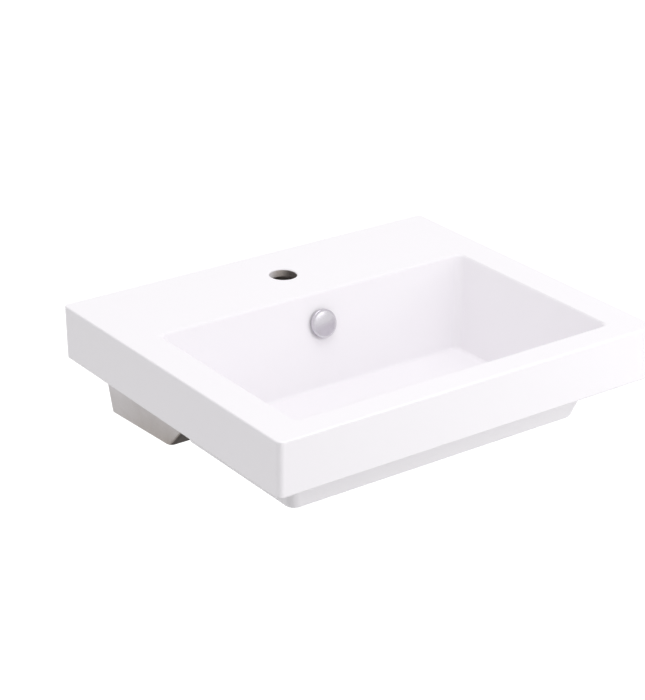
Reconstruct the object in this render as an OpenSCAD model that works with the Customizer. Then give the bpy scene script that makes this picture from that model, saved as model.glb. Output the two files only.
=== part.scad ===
// Wall-hung basin of glazed ceramic with a tap deck, a drafted rectangular bowl,
// an overflow, a push-to-open waste and its wall fixings.
// Millimetres. X is the width, +Y points into the wall and +Z up. The wall plane is
// y = 0, and the origin lies midway between the two fixing bolts.
// Inside the modules all heights are measured down from the rim, which below_rim() sets.

/* [Rim and apron] */
// Overall width of the basin
basin_w = 550; // [520:5:620]
// Overall depth, from the wall to the front
basin_d = 450; // [430:5:500]
// Height of the apron, from the rim down
apron_h = 70; // [60:1:85]
// Inward draft of each apron side at its foot
apron_draft = 2; // [0:0.5:8]
// Corner radius of the apron in plan
apron_corner_r = 7; // [6:0.5:12]
// Radius of the glazed outer rim edge
rim_edge_r = 4; // [2:0.5:5]
// Radius of the apron's lower edge
apron_foot_r = 3; // [1:0.5:4]
// Thickness of the ceramic walls and of the tap deck
wall = 10; // [8:0.5:12]
// Thickness of the ceramic against the wall, which the fixings clamp
back_wall = 14; // [12:0.5:16]

/* [Bowl] */
// Width of the rim on each side of the bowl
side_rim = 46; // [42:1:60]
// Width of the rim in front of the bowl
front_rim = 34; // [30:1:50]
// Depth of the tap deck, from the wall to the bowl
tap_deck = 141; // [130:1:160]
// Depth of the bowl, down to the edge of its floor
bowl_depth = 111; // [95:1:125]
// Fall of the floor towards the waste
floor_fall = 6; // [3:0.5:10]
// Inset of the bowl's foot on each side
side_inset = 30; // [20:1:40]
// Inset of the bowl's foot at the back
back_inset = 37; // [25:1:45]
// Inset of the bowl's foot at the front
front_inset = 34; // [20:1:45]
// Corner radius of the bowl at the rim
bowl_corner_r = 8; // [7:1:25]
// Extra corner radius at the foot of the bowl
bowl_corner_growth = 6; // [4:1:25]
// Radius of the bowl's glazed inner rim
bowl_lip_r = 6; // [3:0.5:8]
// Radius between the bowl's walls and its floor
floor_r = 9; // [6:1:14]
// Thickness of the ceramic under the lowest part of the floor
floor_t = 12.5; // [11:0.5:15]
// Extra width of the bowl's underside on each side
shell_side = 8; // [0:1:10]
// Corner radius of the bowl's underside
shell_corner_r = 12; // [8:1:20]
// Radius round the foot of the bowl's underside
shell_foot_r = 5; // [3:0.5:7]

/* [Fixing blocks] */
// How far the blocks reach below the rim, at the wall
block_drop = 160; // [144:1:170]
// Rise of a block's foot between the wall and its front
block_rise = 7; // [0:1:10]
// Distance of a block's foot from the side of the basin
block_inset = 63.5; // [50:0.5:75]
// Width of a block at its foot
block_w = 132; // [110:1:150]
// Outward draft of a block between its foot and the apron
block_draft = 15; // [4:1:18]
// How far a block's foot stands behind the front edge of the tap deck
block_setback = 5.5; // [4:0.5:20]
// Radius round the foot of a block
block_foot_r = 3.5; // [2:0.5:6]
// Radius of a block's upright corners
block_corner_r = 7; // [7:1:12]

/* [Wall fixings] */
// Distance between the two fixing bolts
fixing_centres = 280; // [260:5:300]
// Depth of the fixing bolts below the rim
fixing_drop = 110; // [95:1:125]
// Diameter of the fixing holes in the ceramic
fixing_hole_d = 24; // [20:0.5:28]
// Diameter of the machine thread of the hanger bolts
bolt_d = 10; // [8:1:12]
// Diameter of the wood thread of the hanger bolts
screw_d = 9.6; // [7.6:0.2:11.6]
// Depth of the plain shank between the two threads, below their tops
shank_step = 0.5; // [0.3:0.1:0.8]
// Length of the plain shank in front of the wall plane
shank_l = 12; // [6:1:14]
// Length of a hanger bolt in front of the wall plane
bolt_front = 44; // [38:1:55]
// Length of a hanger bolt inside the wall
bolt_back = 70; // [50:1:90]
// Length of the point on the wood thread
bolt_point = 10; // [5:1:15]
// Distance of the sleeve's end from the wall plane
sleeve_setback = 1; // [0.5:0.5:2]
// Thickness of the sleeve's collar
sleeve_collar_t = 3; // [2:0.5:5]
// Width of the sleeve's collar outside the hole
sleeve_collar_w = 5; // [3:0.5:7]
// Diameter of the clamping washers
fixing_washer_d = 30; // [26:1:34]
// Thickness of the clamping washers
fixing_washer_t = 2.5; // [1.5:0.5:4]
// Width across the flats of the nuts
fixing_nut_af = 17; // [14:1:19]
// Height of the nuts
fixing_nut_h = 8; // [6:0.5:10]

/* [Tap hole] */
// Diameter of the tap hole
tap_hole_d = 35; // [32:0.5:38]
// Distance of the tap hole's centre from the wall
tap_hole_y = 71; // [60:1:80]
// Radius of the glazed edge of the tap hole
tap_hole_edge_r = 1.5; // [0.5:0.5:2]

/* [Overflow] */
// Depth of the overflow's centre below the rim
overflow_drop = 37; // [32:1:48]
// Diameter of the overflow hole
overflow_hole_d = 24; // [20:0.5:26]
// Diameter of the overflow cap
overflow_cap_d = 36; // [32:0.5:42]
// Height of the overflow cap, from its rim to its face
overflow_cap_h = 6; // [5:0.5:9]
// Gap between the cap and the bowl wall, where the water enters
overflow_gap = 2.2; // [1.5:0.1:4]
// Edge radius of the overflow cap
overflow_cap_r = 3; // [1:0.5:4]
// Thickness of the overflow cap's shell
overflow_cap_t = 1.2; // [0.8:0.1:2]
// Diameter of the post that carries the cap
overflow_post_d = 7; // [5:0.5:9]
// Thickness of the insert's collar
overflow_collar_t = 1.2; // [0.8:0.1:2]
// Width of the overflow duct inside the ceramic
duct_w = 46; // [36:1:60]
// Clear depth of the overflow duct
duct_t = 12; // [8:0.5:16]
// Thickness of the duct's own walls
duct_wall = 7; // [6:0.5:9]

/* [Waste] */
// Distance of the waste's centre from the wall
waste_y = 281; // [260:1:300]
// Diameter of the waste hole in the ceramic
waste_hole_d = 46; // [44:0.5:50]
// Outer diameter of the threaded waste tube
waste_tube_d = 41.9; // [40:0.1:43]
// Wall thickness of the waste tube
waste_tube_t = 2.2; // [1.5:0.1:3]
// Diameter of the waste's flange
waste_flange_d = 63; // [60:0.5:68]
// Thickness of the waste's flange
waste_flange_t = 3; // [2:0.5:4]
// Length of the waste, from its flange to its tail
waste_length = 68; // [62:1:80]
// Width of the undercut where the tail's thread runs out
undercut_w = 2; // [1:0.5:3]
// Depth of that undercut
undercut_t = 0.7; // [0.4:0.1:1]
// Depth of the recess in the floor that takes the flange
waste_recess = 3; // [2:0.5:4]
// Thickness of the gasket under the flange
gasket_t = 2; // [1.5:0.5:3]
// Width of each overflow slot in the waste tube
waste_slot_w = 18; // [10:1:22]
// Number of spider arms in the waste, with an overflow slot between each two
spider_arms = 3; // [3:1:4]
// Height of the spider that holds the cartridge
spider_t = 6; // [4:0.5:8]
// Thickness of the cone washer under the ceramic
cone_washer_t = 6; // [4:0.5:9]
// Thickness of the slip washer
slip_washer_t = 1.5; // [1:0.5:3]
// Height of the back nut
back_nut_h = 9; // [7:0.5:12]
// Width across the flats of the back nut
back_nut_af = 56; // [52:1:62]

/* [Plug] */
// Diameter of the plug cap
plug_cap_d = 64; // [62:0.5:70]
// Thickness of the plug cap at its edge
plug_cap_t = 3.5; // [3:0.5:6]
// Rise of the plug cap's crown above its edge
plug_crown = 1.5; // [0.5:0.5:3]
// Travel of the plug between closed and open
plug_travel = 8; // [5:0.5:10]
// Diameter of the plunger
plunger_d = 8; // [6:0.5:9]
// Thickness of the plug's seal
plug_seal_t = 2.5; // [2:0.5:3.5]
// Outer diameter of the cartridge housing
cartridge_d = 16; // [15:0.5:18]
// Length of the cartridge housing
cartridge_length = 36; // [32:1:42]
// Wall thickness of the cartridge housing
cartridge_t = 1.8; // [1.5:0.1:2.2]
// Wire diameter of the cartridge spring
spring_wire_d = 1; // [0.8:0.1:1.2]
// Turns of the cartridge spring
spring_turns = 5; // [4:1:6]

/* [Clearances] */
// Radial clearance of fixed pieces that fit into each other
fit_clearance = 0.1; // [0.05:0.05:0.3]
// Radial clearance between the plunger and its guide
running_clearance = 0.06; // [0.02:0.01:0.1]
// Gap between the closed plug's seal and the waste's flange
seal_gap = 0.3; // [0.3:0.1:0.6]

/* [Hidden] */
$fn = 64;

// Steps in each rounded corner of a ring, and in each rounded edge
corner_steps = 5;
edge_step = 18;
// Cuts run past the faces that they open by this much
past = 1;

// Bowl
bowl_half_w = basin_w / 2 - side_rim;
bowl_back_y = -tap_deck;
bowl_front_y = -(basin_d - front_rim);
floor_z = -(bowl_depth + floor_fall);
shell_foot_z = floor_z - floor_t;
back_tilt = atan(back_inset / bowl_depth);

// Hollows under the deck and in the blocks
hollow_corner_r = 16;
hollow_cove_r = 8;
pocket_corner_r = 8;
pocket_cove_r = 6;
block_foot_x = -basin_w / 2 + block_inset;
block_front_y = -(tap_deck - block_setback);
// A block's front leans forward by as much as it rises, up to the bowl's back wall
block_merge_z = (block_front_y - block_drop - bowl_back_y - wall / 2) / (1 + back_inset / bowl_depth);
pocket_lean = 1.8 * wall;
pocket_lean_z = -block_drop + pocket_lean - wall;
pocket_merge_z = block_merge_z + (pocket_lean - wall / 2) / (1 + back_inset / bowl_depth);

// Waste, from the flange down
waste_recess_d = waste_flange_d + 3;
recess_z = floor_z - waste_recess;
flange_z = recess_z + gasket_t;
flange_top_z = flange_z + waste_flange_t;
tail_z = flange_top_z - waste_length;
waste_bore_d = waste_tube_d - 2 * waste_tube_t;

// Overflow duct: down behind the bowl, then under its floor into the waste hole
duct_web = wall - 2;
duct_top_z = -(overflow_drop - overflow_hole_d / 2 - 2);
under_floor_z = recess_z - duct_web;
duct_floor_z = under_floor_z - duct_t;
boss_foot_z = duct_floor_z - duct_wall;
boss_d = waste_hole_d + 4 * wall;

// Stack under the ceramic
cone_foot_z = boss_foot_z - cone_washer_t;
slip_foot_z = cone_foot_z - slip_washer_t;
nut_foot_z = slip_foot_z - back_nut_h;

// Plug and cartridge
plug_boss_d = plunger_d + 8;
plug_boss_h = 4;
seal_groove_d = plug_cap_d - 16;
seal_groove_t = 1.5;
seal_bore_d = plug_boss_d + 6;
hub_d = cartridge_d + 6;
cartridge_collar_d = cartridge_d + 5;
end_flange_t = 2;
seal_foot_z = flange_top_z + seal_gap;
cap_foot_z = seal_foot_z + 1;
cartridge_top_z = flange_top_z - plug_travel - 2;
cartridge_foot_z = cartridge_top_z - cartridge_length;
cartridge_collar_t = 2;
spider_top_z = cartridge_top_z - cartridge_collar_t - 8;
guide_t = 5;
end_t = 3;
plunger_head_d = cartridge_d - 2 * cartridge_t - 0.8;
plunger_head_t = 3;
plunger_head_z = cartridge_top_z - guide_t - plug_travel - 0.4;
spring_foot_z = cartridge_foot_z + end_t;
spring_room = plunger_head_z - plunger_head_t - spring_foot_z;
spring_r = plunger_head_d / 2 - spring_wire_d / 2 - 0.2;

// Fixings, from the ceramic's inner face forward
sleeve_y = -back_wall;
collar_y = sleeve_y - sleeve_collar_t;
washer_y = collar_y - fixing_washer_t;

// Heights inside the modules are measured down from the rim
module below_rim() {
    translate([0, 0, fixing_drop]) children();
}

// Rounded rectangle at one height, anticlockwise seen from above
function ring(x0, x1, y0, y1, r, z) = [
    for (corner = [[x1 - r, y1 - r, 0], [x0 + r, y1 - r, 90],
            [x0 + r, y0 + r, 180], [x1 - r, y0 + r, 270]])
        for (step = [0 : corner_steps])
            let (a = corner[2] + 90 * step / corner_steps)
                [corner[0] + r * cos(a), corner[1] + r * sin(a), z]
];

// Solid through a list of rings, from the lowest to the highest
module loft(rings) {
    n = len(rings[0]);
    top = n * (len(rings) - 1);
    points = [for (one = rings) each one];
    sides = [
        for (i = [0 : len(rings) - 2])
            for (j = [0 : n - 1])
                let (a = n * i + j, b = n * i + (j + 1) % n)
                    each [[a, a + n, b + n], [a, b + n, b]]
    ];
    polyhedron(points, concat([[for (j = [0 : n - 1]) j]], [[for (j = [n - 1 : -1 : 0]) top + j]], sides));
}

// A profile in the Y-Z plane, extruded along X about the centre line
module across(width) {
    translate([-width / 2, 0, 0]) rotate([90, 0, 90]) linear_extrude(width) children();
}

// Ceramic

// Share of a rounded edge: how far it has turned in, and how far along
function turned(r, a) = r * (1 - cos(a));
function climbed(r, a) = r * sin(a);

// Inward draft of the apron at a height; its top edge has none
function draft_at(z) = apron_draft * max(0, -z - rim_edge_r) / (apron_h - rim_edge_r);

function apron_ring(z, in) =
    let (d = draft_at(z))
        ring(-basin_w / 2 + d + in, basin_w / 2 - d - in, -basin_d + d + in, -in, apron_corner_r - in, z);

function apron_rings() = concat(
    [for (a = [90 : -edge_step : 0])
        apron_ring(-apron_h + apron_foot_r - climbed(apron_foot_r, a), turned(apron_foot_r, a))],
    [for (a = [0 : edge_step : 90])
        apron_ring(-rim_edge_r + climbed(rim_edge_r, a), turned(rim_edge_r, a))]
);

// Space under the tap deck and rims, open below
module apron_cavity() {
    loft([
        for (level = [[-apron_h - past, 0], [-wall - hollow_cove_r, 0], [-wall, hollow_cove_r]])
            let (z = level[0], in = level[1], d = draft_at(z) + wall + in)
                ring(-basin_w / 2 + d, basin_w / 2 - d, -basin_d + d, -back_wall - in,
                    hollow_corner_r - in, z)
    ]);
}

// The bowl's plan at one depth, moved out by out and at the sides by side too, with corners of radius r
function bowl_plan(z, out, side, r) =
    let (k = -z / bowl_depth, half = bowl_half_w - side_inset * k + out + side)
        ring(-half, half, bowl_front_y + front_inset * k - out, bowl_back_y - back_inset * k + out, r, z);

function bowl_ring(z, out) =
    bowl_plan(z, out, 0, max(1, bowl_corner_r - bowl_corner_growth * z / bowl_depth + out));

function shell_ring(z, in) = bowl_plan(z, wall - in, shell_side, shell_corner_r - in);

function drain_ring(z) =
    let (half = waste_recess_d / 2 + 3)
        ring(-half, half, -waste_y - half, -waste_y + half, half - 2, z);

module bowl_cavity() {
    loft(concat(
        [drain_ring(floor_z)],
        [for (a = [90 : -edge_step : 0])
            bowl_ring(-bowl_depth + floor_r - climbed(floor_r, a), -turned(floor_r, a))],
        [for (a = [0 : edge_step : 90])
            bowl_ring(-bowl_lip_r + climbed(bowl_lip_r, a), turned(bowl_lip_r, a))],
        [bowl_ring(past, bowl_lip_r)]
    ));
}

module bowl_shell() {
    loft(concat(
        [for (a = [90 : -edge_step * 2 : 0])
            shell_ring(shell_foot_z + shell_foot_r - climbed(shell_foot_r, a), turned(shell_foot_r, a))],
        [shell_ring(-wall / 2, 0)]
    ));
}

// Back face of the bowl's back wall at a depth, moved back by out
function back_y(z, out) = bowl_back_y + back_inset * z / bowl_depth + out;

// Fixing blocks, left of centre; above the apron's foot their sides are upright

// 1 at a block's foot, falling to 0 at the apron's foot
function block_share(z) = max(0, min(1, (-apron_h - z) / (block_drop - apron_h)));

function block_side_x(z) = block_foot_x - block_draft * (1 - block_share(z));

function block_front(z) = max(block_front_y - block_drop - z, back_y(z, wall / 2));

// A ring of the block, which rises towards the front as far as the foot does
function block_ring(z, in) = [
    for (p = ring(block_side_x(z) + in, block_foot_x + block_w - in, block_front(z) + in, -in,
            block_corner_r, z))
        p + [0, 0, block_rise * block_share(z) * p[1] / block_front_y]
];

module fixing_block() {
    loft(concat(
        [for (a = [90 : -edge_step * 2 : 0])
            block_ring(-block_drop + block_foot_r - climbed(block_foot_r, a), turned(block_foot_r, a))],
        [for (z = [block_merge_z, -apron_h, -wall / 2]) block_ring(z, 0)]
    ));
}

function pocket_front(z) =
    max(min(block_front_y + wall, block_front_y + pocket_lean - block_drop - z), back_y(z, wall));

function pocket_ring(z, in) =
    ring(block_side_x(z) + wall + in, block_foot_x + block_w - wall - in, pocket_front(z) + in,
        -back_wall - in, pocket_corner_r, z);

// Space inside a fixing block, open below for a hand and a spanner
module fixing_pocket() {
    loft(concat(
        [for (z = [-block_drop - past, pocket_lean_z, pocket_merge_z, -apron_h, -wall - pocket_cove_r])
            pocket_ring(z, 0)],
        [pocket_ring(-wall, pocket_cove_r)]
    ));
}

// Profile of the overflow duct: grow is 0 for its clear way and duct_wall for its outside
module duct_profile(grow) {
    behind = duct_web + duct_t + grow;
    front = duct_web - grow;
    start_z = duct_top_z + min(grow, -duct_top_z - 1);
    foot_z = duct_floor_z - grow;
    polygon([
        [back_y(start_z, front), start_z],
        [back_y(start_z, behind), start_z],
        [back_y(duct_floor_z, behind), foot_z + duct_t],
        [back_y(duct_floor_z, behind) - duct_t, foot_z],
        [-waste_y, foot_z],
        [-waste_y, under_floor_z + grow],
        [back_y(under_floor_z, front), under_floor_z + grow]
    ]);
}

// Frame on the bowl's back wall at the overflow, +Z out of the wall
module at_overflow() {
    translate([0, back_y(-overflow_drop, 0), -overflow_drop]) rotate([90 - back_tilt, 0, 0]) children();
}

module at_waste() {
    translate([0, -waste_y, 0]) children();
}

// Frame on one fixing, +Z towards the room; side is -1 on the left and 1 on the right
module at_fixing(side) {
    translate([side * fixing_centres / 2, 0, 0]) rotate([90, 0, 0]) children();
}

// Bell mouth that rounds the edge of a hole of radius r, in the plane z = 0
module hole_mouth(r, edge) {
    difference() {
        translate([0, 0, -edge]) cylinder(r = r + edge, h = edge + past);
        rotate_extrude() translate([r + edge, -edge]) circle(r = edge);
    }
}

module basin_body() {
    color([0.96, 0.96, 0.95])
    difference() {
        below_rim() union() {
            difference() {
                loft(apron_rings());
                apron_cavity();
            }
            bowl_shell();
            fixing_block();
            mirror([1, 0, 0]) fixing_block();
            intersection() {
                across(duct_w + 2 * duct_wall) duct_profile(duct_wall);
                translate([-basin_w / 2, -basin_d, -2 * block_drop])
                    cube([basin_w, basin_d, 2 * block_drop - 2]);
            }
            at_waste() translate([0, 0, boss_foot_z]) cylinder(d = boss_d, h = floor_z - boss_foot_z);
        }
        below_rim() {
            bowl_cavity();
            fixing_pocket();
            mirror([1, 0, 0]) fixing_pocket();
            across(duct_w) duct_profile(0);
            at_overflow() translate([0, 0, -duct_web - 2])
                cylinder(d = overflow_hole_d, h = duct_web + 2 + wall);
            at_waste() {
                translate([0, 0, boss_foot_z - past])
                    cylinder(d = waste_hole_d, h = floor_z - boss_foot_z + 2 * past);
                translate([0, 0, recess_z]) cylinder(d = waste_recess_d, h = waste_recess + past);
            }
            translate([0, -tap_hole_y, 0]) {
                translate([0, 0, -wall - past]) cylinder(d = tap_hole_d, h = wall + 2 * past);
                hole_mouth(tap_hole_d / 2, tap_hole_edge_r);
            }
        }
        for (side = [-1, 1])
            at_fixing(side) translate([0, 0, -past]) cylinder(d = fixing_hole_d, h = back_wall + 2 * past);
    }
}

// Overflow fittings

// Arc of points about a centre, from one angle to another
function arc(centre, r, from, to) =
    [for (i = [0 : 4]) let (a = from + (to - from) * i / 4) centre + r * [cos(a), sin(a)]];

module overflow_cap() {
    r = overflow_cap_d / 2;
    face = overflow_gap + overflow_cap_h;
    inner_h = overflow_cap_h - overflow_cap_t;
    edge = overflow_cap_r;
    color([0.78, 0.79, 0.8])
    below_rim() at_overflow() {
        rotate_extrude() polygon(concat(
            [[r - overflow_cap_t, overflow_gap], [r, overflow_gap]],
            arc([r - edge, face - edge], edge, 0, 90),
            [[0, face], [0, face - overflow_cap_t], [r - edge, face - overflow_cap_t]],
            [[r - overflow_cap_t, face - edge]]
        ));
        difference() {
            translate([0, 0, overflow_gap]) cylinder(d = overflow_post_d + 4, h = inner_h);
            translate([0, 0, overflow_gap - past])
                cylinder(d = overflow_post_d + 2 * fit_clearance, h = inner_h + past);
        }
    }
}

module overflow_insert() {
    tube_d = overflow_hole_d - 2 * fit_clearance;
    bore_d = tube_d - 4;
    length = 10;
    bar_w = 2.5;
    inner_z = overflow_gap + overflow_cap_h - overflow_cap_t;
    color([0.85, 0.85, 0.86])
    below_rim() at_overflow() {
        difference() {
            union() {
                translate([0, 0, -length]) cylinder(d = tube_d, h = length + fit_clearance);
                translate([0, 0, fit_clearance]) cylinder(d = overflow_hole_d + 5, h = overflow_collar_t);
            }
            translate([0, 0, -length - past])
                cylinder(d = bore_d, h = length + overflow_collar_t + 2 * past);
        }
        translate([0, 0, -length]) {
            cylinder(d = overflow_post_d, h = length + inner_z - 0.3);
            for (turn = [0, 90])
                rotate([0, 0, turn]) translate([-bore_d / 2 - 0.5, -bar_w / 2, 0])
                    cube([bore_d + 1, bar_w, length - 2]);
        }
    }
}

// Waste

// Flat ring standing on z
module washer(outer_d, bore_d, z, t) {
    translate([0, 0, z]) difference() {
        cylinder(d = outer_d, h = t);
        translate([0, 0, -past]) cylinder(d = bore_d, h = t + 2 * past);
    }
}

module waste_body() {
    slot_h = duct_t - 2;
    seat_r = plug_cap_d / 2 - 8;
    edge = waste_flange_t / 2;
    color([0.78, 0.79, 0.8])
    below_rim() at_waste() difference() {
        union() {
            difference() {
                union() {
                    translate([0, 0, tail_z]) cylinder(d = waste_tube_d, h = waste_length - edge);
                    rotate_extrude() polygon(concat(
                        [[0, flange_z], [waste_flange_d / 2 - edge, flange_z]],
                        arc([waste_flange_d / 2 - edge, flange_z + edge], edge, -90, 90),
                        [[0, flange_top_z]]
                    ));
                }
                translate([0, 0, tail_z - past]) cylinder(d = waste_bore_d, h = waste_length + 2 * past);
                // Countersunk way in under the plug
                translate([0, 0, flange_top_z - waste_flange_t])
                    cylinder(d1 = waste_bore_d, d2 = 2 * seat_r - 4, h = waste_flange_t + 0.01);
                for (i = [0 : spider_arms - 1])
                    rotate([0, 0, 90 + 360 * (i + 0.5) / spider_arms])
                        translate([0, -waste_slot_w / 2, duct_floor_z + 1])
                            cube([waste_tube_d, waste_slot_w, slot_h]);
                washer(waste_tube_d + past, waste_tube_d - 2 * undercut_t,
                    nut_foot_z - past - undercut_w, undercut_w);
            }
            translate([0, 0, spider_top_z - spider_t]) {
                cylinder(d = hub_d, h = spider_t);
                for (i = [0 : spider_arms - 1])
                    rotate([0, 0, 90 + 360 * i / spider_arms]) translate([0, -2, 0])
                        cube([waste_bore_d / 2 + waste_tube_t / 2, 4, spider_t]);
            }
        }
        translate([0, 0, spider_top_z - spider_t - past])
            cylinder(d = cartridge_d + 2 * fit_clearance, h = spider_t + 2 * past);
    }
}

module waste_gasket() {
    color([0.15, 0.15, 0.15])
    below_rim() at_waste()
        washer(waste_flange_d - 3, waste_tube_d + 2 * fit_clearance, recess_z, gasket_t);
}

module cone_washer() {
    r0 = waste_tube_d / 2 + fit_clearance;
    r1 = waste_hole_d / 2 + 9;
    color([0.15, 0.15, 0.15])
    below_rim() at_waste() rotate_extrude() polygon([
        [r0, cone_foot_z], [r1, cone_foot_z], [r1 - 2, boss_foot_z], [r0, boss_foot_z]
    ]);
}

module slip_washer() {
    color([0.9, 0.9, 0.88])
    below_rim() at_waste()
        washer(waste_hole_d + 16, waste_tube_d + 2 * fit_clearance, slip_foot_z, slip_washer_t);
}

module back_nut() {
    corner_d = back_nut_af / cos(30);
    collar_t = 2;
    color([0.8, 0.66, 0.36])
    below_rim() at_waste() difference() {
        union() {
            translate([0, 0, nut_foot_z]) cylinder(d = corner_d, h = back_nut_h - collar_t, $fn = 6);
            translate([0, 0, slip_foot_z - collar_t]) cylinder(d = back_nut_af + 2, h = collar_t);
        }
        translate([0, 0, nut_foot_z - past])
            cylinder(d = waste_tube_d + 2 * fit_clearance, h = back_nut_h + 2 * past);
    }
}

// Plug, drawn closed

module plug_cap() {
    r = plug_cap_d / 2;
    edge = plug_cap_t / 2;
    crown_z = cap_foot_z + plug_cap_t;
    crown_r = (r * r + plug_crown * plug_crown) / (2 * plug_crown);
    crown_a = asin((r - edge) / crown_r);
    color([0.78, 0.79, 0.8])
    below_rim() at_waste() difference() {
        union() {
            rotate_extrude() polygon(concat(
                [[0, cap_foot_z], [r - edge, cap_foot_z]],
                arc([r - edge, cap_foot_z + edge], edge, -90, 90),
                [for (i = [1 : 8]) let (a = crown_a * (8 - i) / 8)
                    [crown_r * sin(a), crown_z + crown_r * (cos(a) - cos(crown_a))]]
            ));
            translate([0, 0, cap_foot_z - plug_boss_h]) cylinder(d = plug_boss_d, h = plug_boss_h + 0.5);
        }
        washer(seal_groove_d, seal_bore_d, cap_foot_z - past, seal_groove_t + past);
        translate([0, 0, cap_foot_z - plug_boss_h - past])
            cylinder(d = plunger_d + 2 * fit_clearance, h = plug_boss_h + past + plug_cap_t / 2);
    }
}

module plug_seal() {
    color([0.15, 0.15, 0.15])
    below_rim() at_waste()
        washer(seal_groove_d - 2 * fit_clearance, seal_bore_d + 2 * fit_clearance, seal_foot_z,
            plug_seal_t - fit_clearance);
}

module plunger() {
    color([0.88, 0.88, 0.86])
    below_rim() at_waste() {
        translate([0, 0, plunger_head_z - 0.5])
            cylinder(d = plunger_d, h = cap_foot_z + plug_cap_t / 2 - fit_clearance - plunger_head_z + 0.5);
        translate([0, 0, plunger_head_z - plunger_head_t]) cylinder(d = plunger_head_d, h = plunger_head_t);
    }
}

module cartridge_housing() {
    color([0.88, 0.88, 0.86])
    below_rim() at_waste() difference() {
        union() {
            translate([0, 0, cartridge_foot_z]) cylinder(d = cartridge_d, h = cartridge_length);
            translate([0, 0, spider_top_z]) cylinder(d = cartridge_collar_d, h = cartridge_collar_t);
        }
        translate([0, 0, cartridge_foot_z - past])
            cylinder(d = cartridge_d - 2 * cartridge_t, h = cartridge_length - guide_t + past);
        translate([0, 0, cartridge_foot_z])
            cylinder(d = plunger_d + 2 * running_clearance, h = cartridge_length + past);
    }
}

module cartridge_end() {
    color([0.25, 0.25, 0.27])
    below_rim() at_waste() {
        translate([0, 0, cartridge_foot_z - end_flange_t]) cylinder(d = cartridge_d, h = end_flange_t);
        translate([0, 0, cartridge_foot_z - 0.5])
            cylinder(d = cartridge_d - 2 * cartridge_t - 2 * fit_clearance, h = end_t + 0.5);
    }
}

// Helical tube of the spring, as one polyhedron
module coil(r, wire_r, height, turns) {
    sides = 6;
    steps = 12 * turns;
    rings = [
        for (i = [0 : steps])
            let (a = 360 * turns * i / steps, z = wire_r + (height - 2 * wire_r) * i / steps)
                [for (j = [0 : sides - 1])
                    let (b = 360 * j / sides, out = r + wire_r * cos(b))
                        [out * cos(a), out * sin(a), z + wire_r * sin(b)]]
    ];
    skin = [
        for (i = [0 : steps - 1])
            for (j = [0 : sides - 1])
                let (a = sides * i + j, b = sides * i + (j + 1) % sides)
                    each [[a, b + sides, a + sides], [a, b, b + sides]]
    ];
    start = [[for (j = [sides - 1 : -1 : 0]) j]];
    finish = [[for (j = [0 : sides - 1]) sides * steps + j]];
    polyhedron([for (one = rings) each one], concat(start, finish, skin));
}

module cartridge_spring() {
    gap = (spring_room - 0.4 - spring_wire_d) / spring_turns - spring_wire_d;
    echo(least_gap_between_spring_turns = gap);
    color([0.7, 0.71, 0.73])
    below_rim() at_waste() translate([0, 0, spring_foot_z + 0.2])
        coil(spring_r, spring_wire_d / 2, spring_room - 0.4, spring_turns);
}

// Wall fixings

// Wood thread and point in the wall, then a plain shank and the machine thread in front of it
module hanger_bolt(side) {
    color([0.7, 0.71, 0.73])
    at_fixing(side) {
        translate([0, 0, -bolt_back]) cylinder(d1 = 1.5, d2 = screw_d, h = bolt_point);
        translate([0, 0, bolt_point - bolt_back]) cylinder(d = screw_d, h = bolt_back - bolt_point);
        translate([0, 0, -0.5]) cylinder(d = screw_d - 2 * shank_step, h = shank_l + 1);
        translate([0, 0, shank_l]) cylinder(d = bolt_d, h = bolt_front - shank_l);
    }
}

module fixing_sleeve(side) {
    collar_d = fixing_hole_d + 2 * sleeve_collar_w;
    color([0.9, 0.9, 0.88])
    at_fixing(side) difference() {
        union() {
            translate([0, 0, sleeve_setback])
                cylinder(d = fixing_hole_d - 2 * fit_clearance, h = back_wall - sleeve_setback + 0.5);
            translate([0, 0, back_wall]) cylinder(d = collar_d, h = sleeve_collar_t);
        }
        cylinder(d = bolt_d + 2 * fit_clearance, h = back_wall + sleeve_collar_t + past);
    }
}

module fixing_washer(side) {
    color([0.7, 0.71, 0.73])
    at_fixing(side)
        washer(fixing_washer_d, bolt_d + 2 * fit_clearance, -collar_y, fixing_washer_t);
}

module fixing_nut(side) {
    color([0.7, 0.71, 0.73])
    at_fixing(side) translate([0, 0, -washer_y]) difference() {
        cylinder(d = fixing_nut_af / cos(30), h = fixing_nut_h, $fn = 6);
        translate([0, 0, -past]) cylinder(d = bolt_d + 2 * fit_clearance, h = fixing_nut_h + 2 * past);
    }
}

basin_body();
overflow_cap();
overflow_insert();
waste_body();
waste_gasket();
cone_washer();
slip_washer();
back_nut();
plug_cap();
plug_seal();
plunger();
cartridge_housing();
cartridge_end();
cartridge_spring();
hanger_bolt(-1);  // hanger_bolt_left
hanger_bolt(1);  // hanger_bolt_right
fixing_sleeve(-1);  // fixing_sleeve_left
fixing_sleeve(1);  // fixing_sleeve_right
fixing_washer(-1);  // fixing_washer_left
fixing_washer(1);  // fixing_washer_right
fixing_nut(-1);  // fixing_nut_left
fixing_nut(1);  // fixing_nut_right
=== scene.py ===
"""Wall-hung basin of glazed ceramic, with its overflow cap, push-to-open waste and wall fixings."""

import math

import bmesh
import bpy
from mathutils import Matrix, Vector


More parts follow.
